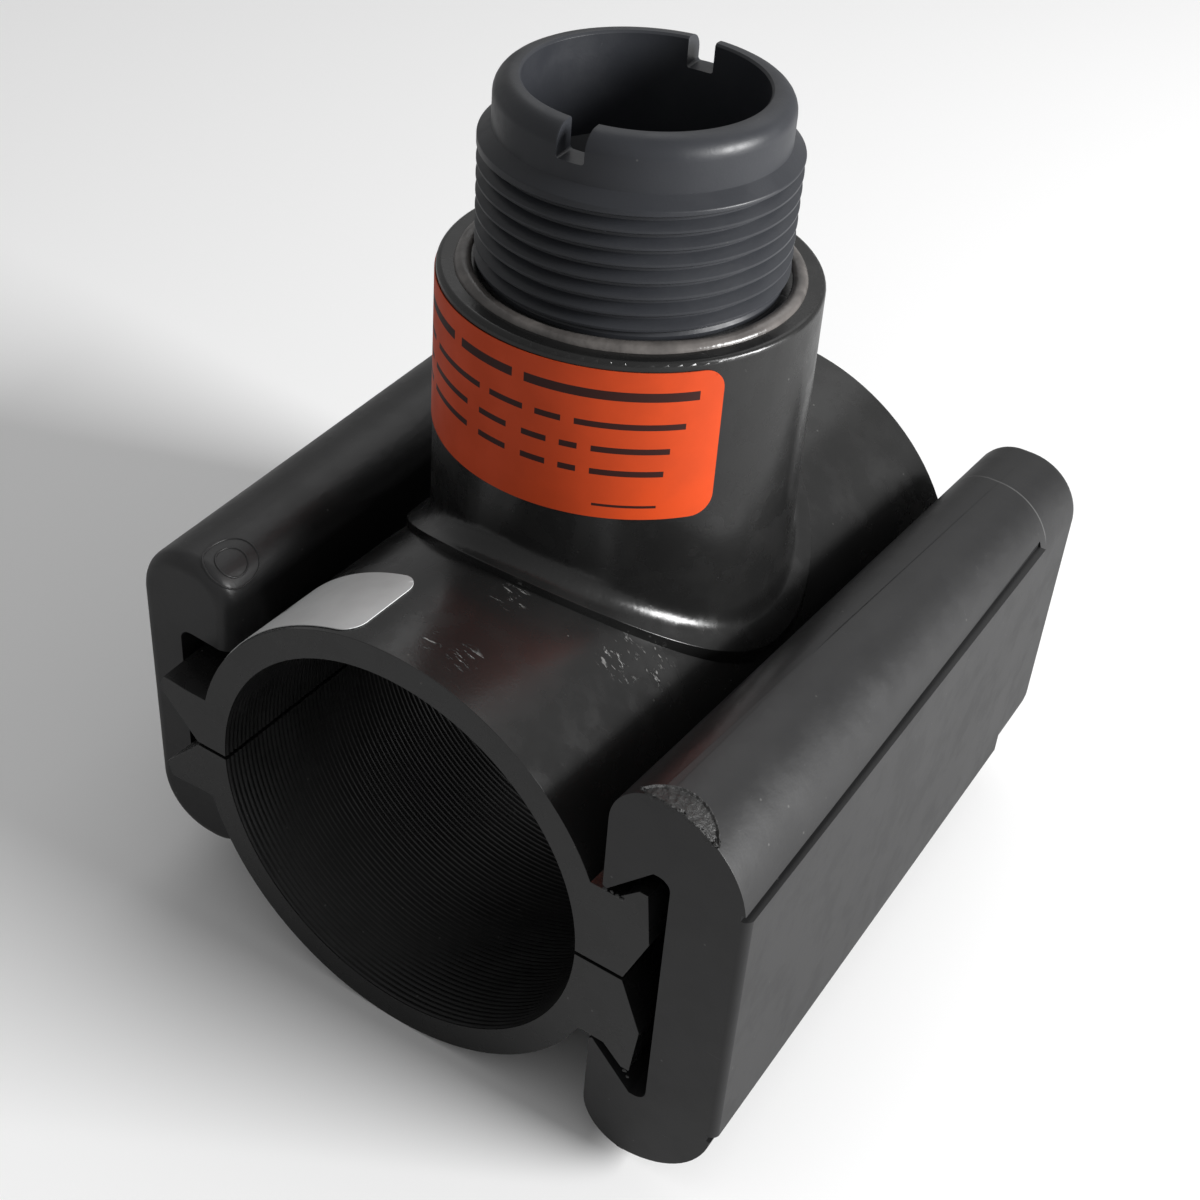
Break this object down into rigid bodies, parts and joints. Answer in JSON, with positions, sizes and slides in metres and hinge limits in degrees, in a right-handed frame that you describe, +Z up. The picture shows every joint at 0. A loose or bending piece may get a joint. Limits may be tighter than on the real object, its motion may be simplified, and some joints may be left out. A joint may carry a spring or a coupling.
{
  "type": "pipe saddle clamp",
  "caption": "Clamp-on saddle for a plastic pipe, with a branch tower, a threaded sensor fitting and sliding wedge bars that hold its two half shells together.",
  "frame": {"origin": "where the pipe's axis crosses the tower's axis, in the middle of the saddle's length", "axes": "+Y along the pipe's axis, the wide end of the right wedge bar at -Y; +Z up along the tower; +X towards the right wedge bar"},
  "size_m": [0.1076, 0.1156, 0.1285],
  "materials": {
    "moulded_pvc": "satin moulded charcoal",
    "fitting_pvc": "satin turned charcoal",
    "cement": "glossy set cement",
    "seal_rubber": "matt black",
    "label_orange": "satin printed film",
    "label_silver": "metallised film"
  },
  "bodies": {
    "saddle": {"saddle_upper": "moulded_pvc", "saddle_lower": "moulded_pvc", "sensor_fitting": "fitting_pvc", "cement_bead": "cement", "branch_seal": "seal_rubber", "instruction_label": "label_orange", "size_sticker": "label_silver"},
    "right_bar": {"wedge_bar_right": "moulded_pvc"},
    "left_bar": {"wedge_bar_left": "moulded_pvc"}
  },
  "joints": [
    {"name": "right_bar_slide", "type": "slide", "parent": "saddle", "child": "right_bar", "axis": [0, 1, 0], "range_m": [0, 0.105]},
    {"name": "left_bar_slide", "type": "slide", "parent": "saddle", "child": "left_bar", "axis": [0, -1, 0], "range_m": [0, 0.119]}
  ]
}
